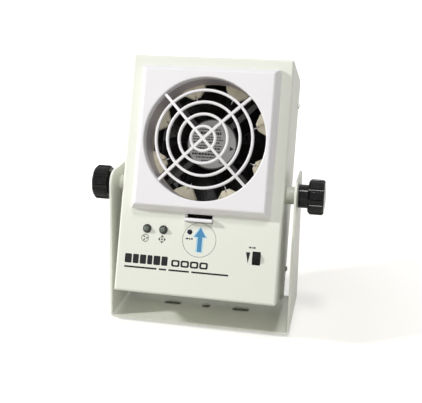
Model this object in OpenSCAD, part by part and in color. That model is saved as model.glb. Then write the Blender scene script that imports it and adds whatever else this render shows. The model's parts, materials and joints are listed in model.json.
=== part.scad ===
// Bench-top ionizing blower. A sheet-steel case tilts in a U-shaped stand. Its fan pushes air
// through a round duct, past a ring of emitter needles, and out of a clip-on front grille.
// Origin: on the table, under the middle of the tilt axis. X runs along the tilt axis, -Y is the
// front. Pieces of the case are drawn upright, from the tilt axis, and then leaned back.

/* [Case] */
// Width of the case
case_w = 146; // [140:1:180]
// Height of the case
case_h = 214; // [206:1:260]
// Depth of the case
case_d = 80; // [78:1:100]
// Sheet thickness of the case and the rear panel
case_sheet = 1.5; // [1:0.1:2]
// Outer radius of the bent edges
case_edge_r = 2.2; // [1.8:0.1:3]
// How far the case leans back at rest
tilt = 20.5; // [0:0.5:30]
// Tilt axis below the top of the case
pivot_drop = 116.5; // [110:0.5:125]
// Tilt axis behind the front of the case
pivot_back = 26; // [25:0.5:32]

/* [Stand] */
// Clearance between the case's lower back corner and the base as the case swings
swing_gap = 6.5; // [4:0.5:30]
// Depth of the stand's base
stand_d = 78; // [70:1:100]
// Width of an arm at its top
arm_top_w = 58; // [40:1:64]
// Height of an arm above the tilt axis
arm_rise = 18; // [14:1:24]
// Corner radius at the top of an arm
arm_corner_r = 12; // [6:1:14]
// Sheet thickness of the stand
stand_sheet = 2; // [1.5:0.1:3]
// Inner radius of the stand's bends
stand_bend_r = 2; // [1:0.5:4]
// Distance from the case's side to the arm
spacer_l = 9; // [6:0.5:14]
// Width of the mounting slots and diameter of the middle hole
mount_hole_d = 9; // [6:0.5:10]
// Overall length of a mounting slot
mount_slot_l = 17; // [12:0.5:20]
// Distance between the middles of the two slots
mount_slot_span = 67; // [50:1:76]
// Thickness of the rubber feet
foot_h = 2.5; // [1.5:0.5:4]
// Diameter of the rubber feet
foot_d = 12; // [8:1:14]

/* [Clamp knobs] */
// Diameter of a knob's head
knob_d = 32; // [26:1:38]
// Length of a knob's head
knob_head_l = 15.5; // [12:0.5:20]
// Diameter of a knob's neck
knob_neck_d = 21.3; // [16:0.1:24]
// Length of a knob's neck
knob_neck_l = 8.5; // [5:0.5:12]
// Number of flutes round a knob
knob_flutes = 8; // [6:1:12]
// Diameter of the threaded studs
stud_d = 6; // [5:1:8]

/* [Outlet and cover] */
// Middle of the outlet below the top of the case
outlet_drop = 74.5; // [70:0.5:80]
// Diameter of the outlet
outlet_d = 109; // [100:1:110]
// Width of the front cover
cover_w = 126; // [122:1:136]
// Height of the front cover
cover_h = 131; // [126:1:138]
// How far the front cover stands out
cover_d = 9; // [7:0.5:14]
// How much the cover's edges slope in
cover_bevel = 4.5; // [2:0.5:6]
// Wall thickness of the front cover
cover_wall = 2.4; // [1.6:0.1:3]
// Rounding of the cover's front edges
cover_edge_r = 2.5; // [1:0.5:4]
// Number of rings in the grille
grille_rings = 4; // [3:1:5]
// Width of the grille's rings and spokes
grille_bar = 2.4; // [1.6:0.1:3]
// Depth of the grille's rings and spokes
grille_depth = 3.4; // [2.4:0.1:5]
// How far the grille's middle bulges out of the cover
grille_bulge = 4.5; // [2:0.5:8]

/* [Fan] */
// Side of the square fan frame
fan_size = 120; // [119:1:122]
// Depth of the fan frame
fan_d = 38; // [30:1:40]
// Side of the square that the fan's screw holes make
fan_pitch = 105; // [104:0.5:106]
// Front of the fan frame behind the case's front
fan_front = 30; // [28:0.5:32]
// Diameter of the fan's motor hub
hub_d = 47; // [40:1:52]
// Number of blades
blades = 7; // [5:1:9]
// Pitch of a blade at its root
blade_root_pitch = 46; // [35:1:55]
// Pitch of a blade at its tip
blade_tip_pitch = 27; // [20:1:35]
// Gap between the blade tips and the frame
tip_gap = 1.5; // [1:0.1:3]

/* [Emitter] */
// Number of emitter needles
needles = 8; // [4:1:10]
// Thickness of the emitter ring
ring_d = 6; // [5:0.5:8]
// Length of the emitter needles
needle_l = 16; // [12:0.5:20]

/* [Front controls] */
// Distance of the two lamps from the middle of the case
lamp_x = [-46.6, -31.6];
// Height of the lamps above the bottom of the case
lamp_rise = 57.5; // [50:0.5:62]
// Diameter of a lamp
lamp_d = 5; // [3:1:5]
// Distance of the trimmer from the middle of the case
trim_x = -7.5; // [-15:0.5:10]
// Diameter of the adjuster hole
trim_hole_d = 4.8; // [3:0.2:6]
// Distance of the thumbwheel from the middle of the case
wheel_x = 53.2; // [45:0.1:56]
// Height of the thumbwheel above the bottom of the case
wheel_rise = 39.3; // [34:0.1:44]
// Diameter of the thumbwheel
wheel_d = 12; // [10:0.5:16]
// Thickness of the thumbwheel
wheel_t = 6.4; // [4:0.1:8]
// How far the thumbwheel stands out of the case
wheel_proud = 2; // [1:0.1:3]
// Number of grooves round the thumbwheel
wheel_grooves = 22; // [16:1:30]
// Width of the cover's release tab
tab_w = 24.6; // [16:0.2:30]
// Thickness of the release tab
tab_h = 3.6; // [3:0.1:5]
// How far the release tab stands out of the case
tab_proud = 5.5; // [3:0.5:7]
// Travel of the release tab
tab_travel = 1.8; // [1.2:0.1:2]

/* [Rear] */
// Side of the intake filter's retainer
filter_size = 124; // [123:1:128]
// Depth of the intake filter outside the rear panel
filter_d = 10.5; // [9:0.5:14]
// Distance of the power inlet from the middle of the case
inlet_x = 36; // [30:1:40]
// Height of the power inlet above the bottom of the case
inlet_rise = 39.5; // [36:0.5:44]

/* [Hidden] */
$fn = 48;

// running and assembly gaps
run_gap = 0.1;      // round a shaft or stud that turns
fit_gap = 0.2;      // between pieces that drop into each other
soft_gap = 0.3;     // round foam and other soft pieces

// colours
case_colour = [0.90, 0.91, 0.86];
white_plastic = [0.94, 0.94, 0.95];
black_plastic = [0.08, 0.08, 0.08];
bare_steel = [0.72, 0.72, 0.72];
brass = [0.78, 0.62, 0.30];
board_green = [0.10, 0.35, 0.20];
foam_grey = [0.28, 0.28, 0.28];

// the case's faces, measured from the tilt axis
face_y = -pivot_back;
back_y = face_y + case_d;
top_z = pivot_drop;
bottom_z = top_z - case_h;
side_x = case_w / 2;
inner_face_y = face_y + case_sheet;
inner_back_y = back_y - case_sheet;
floor_z = bottom_z + case_sheet;

// stand
pivot_z = foot_h + stand_sheet + swing_gap + norm([back_y, bottom_z]);
arm_x = side_x + spacer_l;              // inner face of an arm
stand_w = 2 * (arm_x + stand_sheet);
foot_inset = 5;                         // from the base's edges to a foot's rim

// clamp knobs
knob_x = arm_x + stand_sheet;           // outer face of an arm
stud_inside = 11;                       // length of stud inside the case's side
stud_in_knob = 14;
nut_l = 7;

// outlet, cover and grille
outlet_z = top_z - outlet_drop;
outlet_r = outlet_d / 2;
cover_y = face_y - cover_d;
skirt_wall = 2;
peg_r = 2.4;
peg_x = cover_w / 2 - 7;
peg_dz = 40;
peg_l = 5;                              // reach of a peg behind the case's front face
duct_wall = 2;
duct_r = outlet_r + 0.5;
grille_dish = 1.5;                      // how far the grille's rim lies inside the cover
dome_rise = grille_bulge + grille_dish;
dome_r = (outlet_r * outlet_r + dome_rise * dome_rise) / (2 * dome_rise);
dome_y = cover_y - grille_bulge + dome_r;
ring_pitch = outlet_r / (grille_rings + 1.07);

// cover latch, behind the front of the case under the outlet
catch_z = outlet_z - cover_h / 2 + cover_wall;   // top of the cover's lower wall
catch_t = 1.5;
catch_w = 12;
catch_reach = 9.5;                      // behind the front sheet
ramp = 0.3;                             // rise of the latch for each millimetre of pull
pull_off = tab_travel / ramp;           // pull at which the catch is free
latch_t = 2.5;
latch_w = 34;
latch_y = inner_face_y + fit_gap;
tab_top_z = catch_z - cover_wall - tab_travel - 2.2;
tab_slot_h = tab_h + tab_travel + 1.6;
latch_top_z = catch_z + 3.9;
latch_bottom_z = tab_top_z - tab_h - 5;
bar_z = catch_z + 1.7;                  // lower edge of the bar that the catch hooks over
guide_wall = 3.2;
guide_t = 1.6;

// fan stack, from the front to the back
fan_y = face_y + fan_front;
ring_y = fan_y - ring_d;
fan_back_y = fan_y + fan_d;
bore_r = 57.5;
flange_t = 4;
hub_r = hub_d / 2;
hub_wall = 3;
motor_l = 10;                           // depth of the fixed motor hub
strut_w = 5;
strut_t = 5;
m4_r = 2;
m4_hole_r = 2.2;
fan_hole = fan_pitch / 2;
rotor_y = fan_y + motor_l + 1.2;        // front rim of the rotor's cup
rotor_l = fan_d - motor_l - 3.2;
rotor_wall = 2;
shaft_r = 1.9;
bearing_r = 5;
bearing_l = 4;
tube_wall = 1.8;
tube_end_y = fan_back_y - 9;
blade_in_r = hub_r - 0.4;
blade_out_r = bore_r - tip_gap;
lead_r = 1.1;
lead_angle = 45;
lead_y = fan_y + strut_t + 2.5;
lead_out_r = 66;

// emitter wire
wire_r = 0.5;
wire_loop_r = duct_r + 1.8;             // radius of the loop that the wire makes in the ring

// rear
panel_lip = 12;
panel_gap = 0.2;
intake_r = 56;
filter_base_t = 2;
foam_t = filter_d - filter_base_t - 2.8;
inlet_z = bottom_z + inlet_rise;
inlet_flange = [50, 58, 2.5];
inlet_body = [27, 47, 26];
socket_size = [24, 16.4, 15];
socket_dz = 2;
drawer_size = [24, 7.4, 20];
drawer_dz = -14;
rocker_size = [19.4, 12.4];
rocker_dz = 16.6;
rocker_r = 10.5;
rocker_axis = 6;                        // rocker's axis in front of its rim
fuse_r = 2.6;
fuse_l = 20;

// boards
board_t = 1.6;
board_y = inner_face_y + 14.5;          // front of the control board
board_w = 120;
board_h = 48;
board_z = bottom_z + 42;
board_hole = [board_w / 2 - 5, board_h / 2 - 4];
lamp_z = bottom_z + lamp_rise;
lamp_r = lamp_d / 2;
bezel_wall = 0.7;
bezel_lip = 1;
trim_body = [9.6, 10, 4.8];
wheel_r = wheel_d / 2;
wheel_y = face_y + wheel_r - wheel_proud;
wheel_z = bottom_z + wheel_rise;
wheel_slot = 2 * sqrt(wheel_r * wheel_r - pow(wheel_r - wheel_proud - case_sheet, 2)) + 0.8;
pot_size = [11, 14.3, 12];
pot_shaft_r = 1.2;
hv_size = [58, 36, 36];
hv_x = -37;
hv_y = 20;
hv_lead_x = [-50, -38];
supply_size = [62, 29];
supply_x = 34;
supply_y = 8;
supply_z = floor_z + 6;

// wiring
terminal_y = back_y - inlet_body[2] - 8;        // free ends of the inlet's terminals
earth_y = terminal_y + 6.4;
earth_stud_h = 8;

// ---- placing and drawing ----
module in_head() {
    translate([0, 0, pivot_z]) rotate([-tilt, 0, 0]) children();
}

// a slab whose outline is drawn as (y, z), (x, z) or (x, y)
module slab_x(x, t) {
    translate([x, 0, 0]) rotate([90, 0, 90]) linear_extrude(t) children();
}

module slab_y(y, t) {
    translate([0, y + t, 0]) rotate([90, 0, 0]) linear_extrude(t) children();
}

module slab_z(z, t) {
    translate([0, 0, z]) linear_extrude(t) children();
}

module rod_x(x, l, r) {
    translate([x, 0, 0]) rotate([0, 90, 0]) cylinder(h = l, r = r);
}

module rod_y(y, l, r) {
    translate([0, y, 0]) rotate([-90, 0, 0]) cylinder(h = l, r = r);
}

module tube_y(y, l, r, bore) {
    difference() {
        rod_y(y, l, r);
        rod_y(y - 1, l + 2, bore);
    }
}

module block(low, size) {
    translate(low) cube(size);
}

module both_sides() {
    children();
    mirror([1, 0, 0]) children();
}

module four(dx, dz) {
    for (sx = [-1, 1], sz = [-1, 1]) translate([sx * dx, 0, sz * dz]) children();
}

module round_rect(w, h, r) {
    square([w - 2 * r, h], center = true);
    square([w, h - 2 * r], center = true);
    for (sx = [-1, 1], sy = [-1, 1])
        translate([sx * (w / 2 - r), sy * (h / 2 - r)]) circle(r);
}

// a slot along the first axis with round ends
module slot_outline(l, d) {
    square([l - d, d], center = true);
    for (s = [-1, 1]) translate([s * (l - d) / 2, 0]) circle(d / 2);
}

// base on the first axis, narrower top at the given height, with rounded top corners
module soft_trapezoid(base, top, height, r) {
    slope = atan2((base - top) / 2, height);
    tangent = r / tan((90 + slope) / 2);
    polygon([
        [-base / 2, 0], [base / 2, 0],
        [top / 2 + tangent * sin(slope), height - tangent * cos(slope)],
        [top / 2 - tangent, height],
        [-top / 2 + tangent, height],
        [-top / 2 - tangent * sin(slope), height - tangent * cos(slope)]
    ]);
    for (s = [-1, 1]) translate([s * (top / 2 - tangent), height - r]) circle(r);
}

// a block open to its back whose front edges slope in and are rounded
module pillow(w, h, depth, bevel, edge_r, corner_r, y_back, z_mid) {
    intersection() {
        translate([0, 0, z_mid]) slab_y(y_back - depth, depth) round_rect(w, h, corner_r);
        slab_z(z_mid - h / 2, h)
            translate([0, y_back]) mirror([0, 1])
                soft_trapezoid(w, w - 2 * bevel, depth, edge_r);
        slab_x(-w / 2, w)
            translate([y_back, z_mid]) rotate(90)
                soft_trapezoid(h, h - 2 * bevel, depth, edge_r);
    }
}

module at_outlet() {
    translate([0, 0, outlet_z]) children();
}

// a pan-head screw along +y, its head in front of the given plane
module screw_y(y, l, r) {
    rod_y(y, l, r);
    translate([0, y, 0]) rotate([90, 0, 0]) rotate_extrude()
        intersection() {
            square([2 * r, 1.3 * r]);
            translate([0, -1.6 * r]) circle(2.9 * r);
        }
}

// ---- stand ----
module stand_bracket() {
    arm_h = pivot_z + arm_rise - foot_h;
    outer_r = stand_bend_r + stand_sheet;
    color(case_colour) difference() {
        intersection() {
            slab_y(-stand_d / 2, stand_d) translate([0, foot_h + arm_h]) difference() {
                round_rect(stand_w, 2 * arm_h, outer_r);
                round_rect(2 * arm_x, 2 * (arm_h - stand_sheet), stand_bend_r);
            }
            slab_x(-stand_w / 2, stand_w) translate([0, foot_h])
                soft_trapezoid(stand_d, arm_top_w, arm_h, arm_corner_r);
        }
        translate([0, 0, pivot_z]) rod_x(-stand_w, 2 * stand_w, stud_d / 2 + run_gap);
        translate([0, 0, foot_h - 1]) cylinder(h = stand_sheet + 2, d = mount_hole_d);
        for (s = [-1, 1]) translate([s * mount_slot_span / 2, 0])
            slab_z(foot_h - 1, stand_sheet + 2) slot_outline(mount_slot_l, mount_hole_d);
    }
}

module stand_feet() {
    dx = stand_w / 2 - stand_bend_r - foot_inset - foot_d / 2;
    dy = stand_d / 2 - foot_inset - foot_d / 2;
    color(black_plastic)
        for (sx = [-1, 1], sy = [-1, 1]) translate([sx * dx, sy * dy, 0])
            cylinder(h = foot_h, d = foot_d);
}

module pivot_spacers() {
    color(case_colour) in_head() both_sides() difference() {
        rod_x(side_x, spacer_l, 8);
        rod_x(side_x - 1, spacer_l + 2, stud_d / 2 + run_gap);
    }
}

// ---- clamp knobs, drawn along +x from the arm's outer face ----
module clamp_knob() {
    head_x = knob_x + knob_neck_l;
    r = knob_d / 2;
    color(black_plastic) difference() {
        union() {
            rod_x(knob_x, knob_neck_l + 1, knob_neck_d / 2);
            intersection() {
                slab_x(head_x, knob_head_l) difference() {
                    circle(r);
                    for (i = [0 : knob_flutes - 1]) rotate((i + 0.5) * 360 / knob_flutes)
                        translate([r + 1.6, 0]) circle(3.6);
                }
                translate([head_x, 0, 0]) rotate([0, 90, 0]) rotate_extrude()
                    intersection() {
                        polygon([
                            [0, 0], [r - 2, 0], [r, 2], [r, knob_head_l - 3],
                            [r - 2.2, knob_head_l], [0, knob_head_l]
                        ]);
                        translate([0, knob_head_l - 5 * r]) circle(5 * r, $fn = 96);
                    }
            }
        }
        rod_x(knob_x - 1, stud_in_knob + 1, stud_d / 2);
    }
}

module knob_stud() {
    color(bare_steel)
        rod_x(side_x - stud_inside, stud_inside + spacer_l + stand_sheet + stud_in_knob,
            stud_d / 2);
}

module knob_right() {
    in_head() clamp_knob();
}

module knob_left() {
    in_head() mirror([1, 0, 0]) clamp_knob();
}

module knob_stud_right() {
    in_head() knob_stud();
}

module knob_stud_left() {
    in_head() mirror([1, 0, 0]) knob_stud();
}

module pivot_nuts() {
    color(bare_steel) in_head() both_sides() difference() {
        union() {
            rod_x(side_x - case_sheet - nut_l, nut_l, 5);
            rod_x(side_x - case_sheet - 1.2, 1.2, 7.5);
        }
        rod_x(0, side_x, stud_d / 2 + run_gap);
    }
}

// ---- case ----
side_screw_z = [top_z - 27.5, bottom_z + 29];
side_screw_y = back_y - 6;

module case_shell() {
    mid_z = (top_z + bottom_z) / 2;
    color(case_colour) in_head() difference() {
        pillow(case_w, case_h, case_d, 0, case_edge_r, case_edge_r, back_y, mid_z);
        block([-side_x + case_sheet, inner_face_y, floor_z],
            [case_w - 2 * case_sheet, case_d, case_h - 2 * case_sheet]);
        at_outlet() rod_y(face_y - 1, 4, duct_r);
        at_outlet() four(peg_x, peg_dz) rod_y(face_y - 1, 4, peg_r + run_gap);
        // window for the cover's catch, and the slot that the release tab stands out of
        block([-catch_w / 2 - 0.5, face_y - 1, catch_z - 0.3], [catch_w + 1, 4, catch_t + 2.6]);
        block([-tab_w / 2 - 0.4, face_y - 1, tab_top_z - tab_h - 0.3],
            [tab_w + 0.8, 4, tab_slot_h + 0.3]);
        for (x = lamp_x) translate([x, 0, lamp_z])
            rod_y(face_y - 1, 4, lamp_r + bezel_wall + fit_gap);
        translate([trim_x, 0, lamp_z]) rod_y(face_y - 1, 4, trim_hole_d / 2);
        block([wheel_x - wheel_t / 2 - 0.4, face_y - 1, wheel_z - wheel_slot / 2],
            [wheel_t + 0.8, 4, wheel_slot]);
        rod_x(-case_w, 2 * case_w, stud_d / 2 + run_gap);
        for (z = side_screw_z) translate([0, side_screw_y, z]) rod_x(-case_w, 2 * case_w, 1.6);
    }
}

module rear_panel() {
    w = case_w - 2 * case_sheet - 2 * panel_gap;
    h = case_h - 2 * case_sheet - 2 * panel_gap;
    color(case_colour) in_head() difference() {
        block([-w / 2, back_y - panel_lip, floor_z + panel_gap], [w, panel_lip, h]);
        block([-w / 2 + case_sheet, back_y - panel_lip - 1, floor_z + panel_gap + case_sheet],
            [w - 2 * case_sheet, panel_lip + 1 - case_sheet, h - 2 * case_sheet]);
        at_outlet() rod_y(back_y - 4, 8, intake_r);
        at_outlet() four(fan_hole, fan_hole) rod_y(back_y - 4, 8, m4_hole_r);
        translate([inlet_x, 0, inlet_z]) slab_y(back_y - 4, 8)
            square([inlet_body[0] + 2 * fit_gap, inlet_body[1] + 2 * fit_gap], center = true);
        translate([inlet_x, 0, inlet_z + socket_dz]) for (s = [-1, 1])
            translate([s * 20, 0, 0]) rod_y(back_y - 4, 8, 1.6);
        for (z = side_screw_z) translate([0, side_screw_y, z]) rod_x(-case_w, 2 * case_w, 1.35);
    }
}

module case_screws() {
    color(bare_steel) in_head() for (z = side_screw_z) both_sides()
        translate([side_x, side_screw_y, z]) rotate([0, 0, 90]) screw_y(0, 6, 1.3);
}

// ---- front cover and its latch ----
module cover_grille() {
    color(white_plastic) in_head() at_outlet() {
        for (i = [1 : grille_rings]) {
            r = i * ring_pitch;
            y = dome_y - sqrt(dome_r * dome_r - r * r) + grille_depth / 2;
            translate([0, y, 0]) rotate([-90, 0, 0]) rotate_extrude()
                translate([r, 0]) round_rect(grille_bar, grille_depth, 0.8);
        }
        intersection() {
            for (a = [45, 135]) rotate([0, a, 0]) slab_z(-grille_bar / 2, grille_bar)
                translate([0, dome_y]) difference() {
                    circle(dome_r, $fn = 360);
                    circle(dome_r - grille_depth, $fn = 360);
                }
            rod_y(cover_y - grille_bulge - 1, dome_rise + grille_depth + 2, outlet_r - run_gap);
        }
    }
}

module cover_catch() {
    nib_y = latch_y + latch_t + 0.2;
    tip_y = inner_face_y + catch_reach;
    slab_x(-catch_w / 2, catch_w) polygon([
        [face_y - 2.6, catch_z], [tip_y, catch_z], [tip_y, bar_z - 0.4],
        [tip_y - 1.5, bar_z + ramp * (tip_y - 1.5 - nib_y) - 0.1],
        [nib_y - 0.2, bar_z - 0.1], [nib_y - 0.2, catch_z + catch_t],
        [face_y - 2.6, catch_z + catch_t]
    ]);
}

module front_cover() {
    color(white_plastic) in_head() difference() {
        union() {
            difference() {
                pillow(cover_w, cover_h, cover_d, cover_bevel, cover_edge_r, 4, face_y, outlet_z);
                pillow(cover_w - 2 * cover_wall, cover_h - 2 * cover_wall,
                    cover_d - cover_wall, cover_bevel, 1, 2, face_y + 0.001, outlet_z);
            }
            at_outlet() rod_y(cover_y + 1, cover_d - 1.2, outlet_r + skirt_wall);
            at_outlet() four(peg_x, peg_dz) {
                rod_y(cover_y + 1, cover_d - 1 - 0.2, peg_r + 1.4);
                rod_y(cover_y + 2, cover_d - 2 + peg_l, peg_r);
            }
            cover_catch();
        }
        at_outlet() rod_y(cover_y - 5, cover_d + 5.01, outlet_r);
        // eased edge round the outlet
        at_outlet() translate([0, cover_y, 0]) rotate([-90, 0, 0]) rotate_extrude()
            difference() {
                translate([outlet_r - 1, -1]) square([2.2, 2.2]);
                translate([outlet_r + 1.2, 1.2]) circle(1.2);
            }
    }
}

module cover_latch() {
    color(white_plastic) in_head() difference() {
        union() {
            slab_y(latch_y, latch_t) translate([0, (latch_top_z + latch_bottom_z) / 2])
                round_rect(latch_w, latch_top_z - latch_bottom_z, 1);
            slab_x(-tab_w / 2, tab_w) translate([latch_y + 1, tab_top_z - tab_h / 2])
                rotate(90) soft_trapezoid(tab_h, tab_h - 0.8, tab_proud + latch_y + 1 - face_y, 1);
        }
        block([-catch_w / 2 - 1, latch_y - 1, catch_z - tab_travel - 0.4],
            [catch_w + 2, latch_t + 2, bar_z - catch_z + tab_travel + 0.4]);
        // open above the tab, so that a finger tip has room over it
        block([-tab_w / 2 + 1, latch_y - 1, tab_top_z],
            [tab_w - 2, latch_t + 2, catch_z - tab_travel - tab_top_z]);
        // finger grooves along the tab
        for (i = [-4 : 4]) translate([i * tab_w / 11, 0, tab_top_z - tab_h])
            rod_y(face_y - tab_proud - 1, tab_proud - 1, 0.5);
    }
}

module latch_guide() {
    h = latch_top_z - latch_bottom_z;
    low = latch_bottom_z;
    inner = latch_w / 2 + fit_gap;
    lip_y = latch_y + latch_t + fit_gap;
    color(white_plastic) in_head() {
        both_sides() {
            block([inner, inner_face_y, low], [guide_wall, lip_y + guide_t - inner_face_y, h]);
            block([inner - 2.4, lip_y, low], [2.5, guide_t, h]);
        }
        block([-inner - guide_wall, inner_face_y, low - 0.4 - guide_t],
            [2 * (inner + guide_wall), lip_y + guide_t - inner_face_y, guide_t + 0.2]);
        both_sides() block([inner + 0.4, inner_face_y, low - 0.6],
            [guide_wall - 0.4, lip_y + guide_t - inner_face_y, 0.8]);
    }
}

// ---- duct and emitter ----
module stack_corners(y, l, r) {
    at_outlet() four(fan_hole, fan_hole) rod_y(y, l, r);
}

module air_duct() {
    l = ring_y - inner_face_y;
    rib_l = fan_hole * sqrt(2) - duct_r - 4.6;
    color(white_plastic) in_head() difference() {
        union() {
            at_outlet() rod_y(inner_face_y, l, duct_r + duct_wall);
            stack_corners(inner_face_y, l, 5);
            at_outlet() for (a = [45 : 90 : 315]) rotate([0, a, 0])
                block([duct_r + 1, inner_face_y, -1.5], [rib_l, l, 3]);
            at_outlet() slab_y(ring_y - 3, 3) round_rect(fan_size, fan_size, 7);
        }
        at_outlet() rod_y(inner_face_y - 1, l + 2, duct_r);
        stack_corners(inner_face_y - 1, l + 2, m4_hole_r);
    }
}

module emitter_ring() {
    socket_in = duct_r - 8;
    color(case_colour) in_head() difference() {
        union() {
            difference() {
                at_outlet() slab_y(ring_y, ring_d) round_rect(fan_size, fan_size, 7);
                at_outlet() rod_y(ring_y - 1, ring_d + 2, duct_r + 0.5);
            }
            at_outlet() for (i = [0 : needles - 1]) rotate([0, (i + 0.5) * 360 / needles, 0])
                slab_y(ring_y + 0.6, ring_d - 1.2) polygon([
                    [socket_in, -2.2], [socket_in + 3, -4.2], [duct_r + 2, -4.2],
                    [duct_r + 2, 4.2], [socket_in + 3, 4.2], [socket_in, 2.2]
                ]);
        }
        stack_corners(ring_y - 1, ring_d + 2, m4_hole_r);
        at_outlet() for (i = [0 : needles - 1]) rotate([0, (i + 0.5) * 360 / needles, 0])
            translate([0, ring_y + ring_d / 2, 0])
                rod_x(socket_in - 1, wire_loop_r - socket_in + 1, 0.8);
        at_outlet() emitter_loop(wire_r + run_gap);
    }
}

// the loop of the wire that joins the needles' outer ends
module emitter_loop(r) {
    translate([0, ring_y + ring_d / 2, 0]) rotate([-90, 0, 0]) rotate_extrude()
        translate([wire_loop_r, 0]) circle(r);
}

module emitter_wire() {
    color(bare_steel) in_head() at_outlet() emitter_loop(wire_r);
}

module emitter_needles() {
    tip_r = wire_loop_r - wire_r - run_gap - needle_l;
    color(bare_steel) in_head() at_outlet() for (i = [0 : needles - 1])
        rotate([0, (i + 0.5) * 360 / needles, 0]) translate([tip_r, ring_y + ring_d / 2, 0])
            rotate([0, 90, 0]) {
                cylinder(h = 4, r1 = 0.08, r2 = 0.8);
                translate([0, 0, 4]) cylinder(h = needle_l - 4, r = 0.8);
            }
}

module weld_studs() {
    color(bare_steel) in_head() {
        stack_corners(inner_face_y, fan_back_y + 4.5 - inner_face_y, m4_r);
        translate([inlet_x, earth_y, floor_z]) cylinder(h = earth_stud_h, r = m4_r);
    }
}

module fan_nuts() {
    color(bare_steel) in_head() at_outlet() four(fan_hole, fan_hole) difference() {
        slab_y(fan_back_y, 3.2) circle(4.04, $fn = 6);
        rod_y(fan_back_y - 1, 6, m4_r + 0.02);
    }
}

// ---- fan ----
module fan_frame() {
    color(black_plastic) in_head() at_outlet() {
        difference() {
            union() {
                slab_y(fan_y, flange_t) round_rect(fan_size, fan_size, 7);
                slab_y(fan_back_y - flange_t, flange_t) round_rect(fan_size, fan_size, 7);
                intersection() {
                    rod_y(fan_y, fan_d, bore_r + 2.5);
                    slab_y(fan_y, fan_d) square(fan_size, center = true);
                }
            }
            rod_y(fan_y - 1, fan_d + 2, bore_r);
            four(fan_hole, fan_hole) rod_y(fan_y - 1, fan_d + 2, m4_hole_r);
            rotate([0, lead_angle, 0]) translate([0, lead_y, 0])
                rod_x(bore_r - 4, 10, lead_r + fit_gap);
        }
        // fixed motor hub, its bearing tube and the struts that carry it
        difference() {
            union() {
                rod_y(fan_y, motor_l, hub_r);
                for (a = [45 : 90 : 315]) rotate([0, a, 0])
                    block([hub_r - 2, fan_y, -strut_w / 2], [bore_r - hub_r + 3, strut_t, strut_w]);
            }
            rod_y(fan_y + hub_wall, motor_l, hub_r - 2);
        }
        difference() {
            rod_y(fan_y + 1, tube_end_y - fan_y - 1, bearing_r + tube_wall);
            rod_y(fan_y + hub_wall, fan_d, bearing_r);
        }
    }
}

module motor_label() {
    color([0.75, 0.75, 0.76]) in_head() at_outlet() rod_y(fan_y - 0.3, 0.3, hub_r - 1.2);
}

// a point of a blade's section at radius r: u runs along the chord, v across it
function blade_point(r, u, v) =
    let (
        f = (r - blade_in_r) / (blade_out_r - blade_in_r),
        pitch = blade_root_pitch + (blade_tip_pitch - blade_root_pitch) * f,
        chord = 27 + 9 * f,
        camber = 0.09 * chord * (1 - 4 * u * u),
        along = u * chord * cos(pitch) - (v + camber) * sin(pitch),
        across = u * chord * sin(pitch) + (v + camber) * cos(pitch),
        turn = along / r * 180 / PI + 16 * f * f
    )
    [r * cos(turn), across, r * sin(turn)];

blade_steps = 7;
section_steps = 8;
// round a section: along its back and then along its front
section = concat(
    [for (i = [0 : section_steps]) let (u = i / section_steps - 0.5)
        [u, 0.25 + 0.6 * sqrt(max(0, 0.25 - u * u))]],
    [for (i = [section_steps : -1 : 0]) let (u = i / section_steps - 0.5)
        [u, -0.25 - 0.4 * sqrt(max(0, 0.25 - u * u))]]
);

module blade() {
    n = len(section);
    mid_y = rotor_y + rotor_l / 2;
    points = [
        for (k = [0 : blade_steps], q = section)
            blade_point(blade_in_r + (blade_out_r - blade_in_r) * k / blade_steps, q[0],
                q[1] * (1.6 - 0.6 * k / blade_steps)) + [0, mid_y, 0]
    ];
    skin = [
        for (k = [0 : blade_steps - 1], i = [0 : n - 1])
            let (a = k * n + i, b = k * n + (i + 1) % n)
                each [[a, b + n, b], [a, a + n, b + n]]
    ];
    root = [
        for (i = [0 : section_steps - 1])
            each [[i, i + 1, n - 2 - i], [i, n - 2 - i, n - 1 - i]]
    ];
    last = blade_steps * n;
    tip = [for (t = root) [last + t[0], last + t[2], last + t[1]]];
    polyhedron(points, concat(skin, root, tip));
}

module fan_rotor() {
    color(black_plastic) in_head() at_outlet() {
        difference() {
            union() {
                translate([0, rotor_y, 0]) rotate([-90, 0, 0]) rotate_extrude()
                    difference() {
                        square([hub_r, rotor_l]);
                        square([hub_r - rotor_wall, rotor_l - rotor_wall]);
                        translate([hub_r - 2, rotor_l - 2]) difference() {
                            square(3);
                            circle(2);
                        }
                    }
                rod_y(rotor_y + rotor_l - 6, 5, 4);
            }
            rod_y(rotor_y, rotor_l + 2, shaft_r);
        }
        for (i = [0 : blades - 1]) rotate([0, i * 360 / blades + 10, 0]) blade();
    }
}

module rotor_magnet() {
    r = hub_r - rotor_wall - 0.06;
    color([0.2, 0.2, 0.2]) in_head() at_outlet()
        tube_y(rotor_y + 1, rotor_l - rotor_wall - 1, r, r - 2.5);
}

module fan_shaft() {
    y = fan_y + hub_wall + 0.6;
    color(bare_steel) in_head() at_outlet() rod_y(y, rotor_y + rotor_l - y, shaft_r);
}

module fan_bearings() {
    color(bare_steel) in_head() at_outlet()
        for (y = [fan_y + hub_wall + 1, tube_end_y - bearing_l - 0.5])
            tube_y(y, bearing_l, bearing_r, shaft_r + 0.05);
}

module fan_stator() {
    core_y = fan_y + motor_l + 4;
    color(brass) in_head() at_outlet() difference() {
        union() {
            rod_y(core_y, 6, hub_r - rotor_wall - 3.2);
            rod_y(core_y - 3, 12, hub_r - rotor_wall - 7);
        }
        rod_y(core_y - 4, 14, bearing_r + tube_wall);
    }
}

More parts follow.
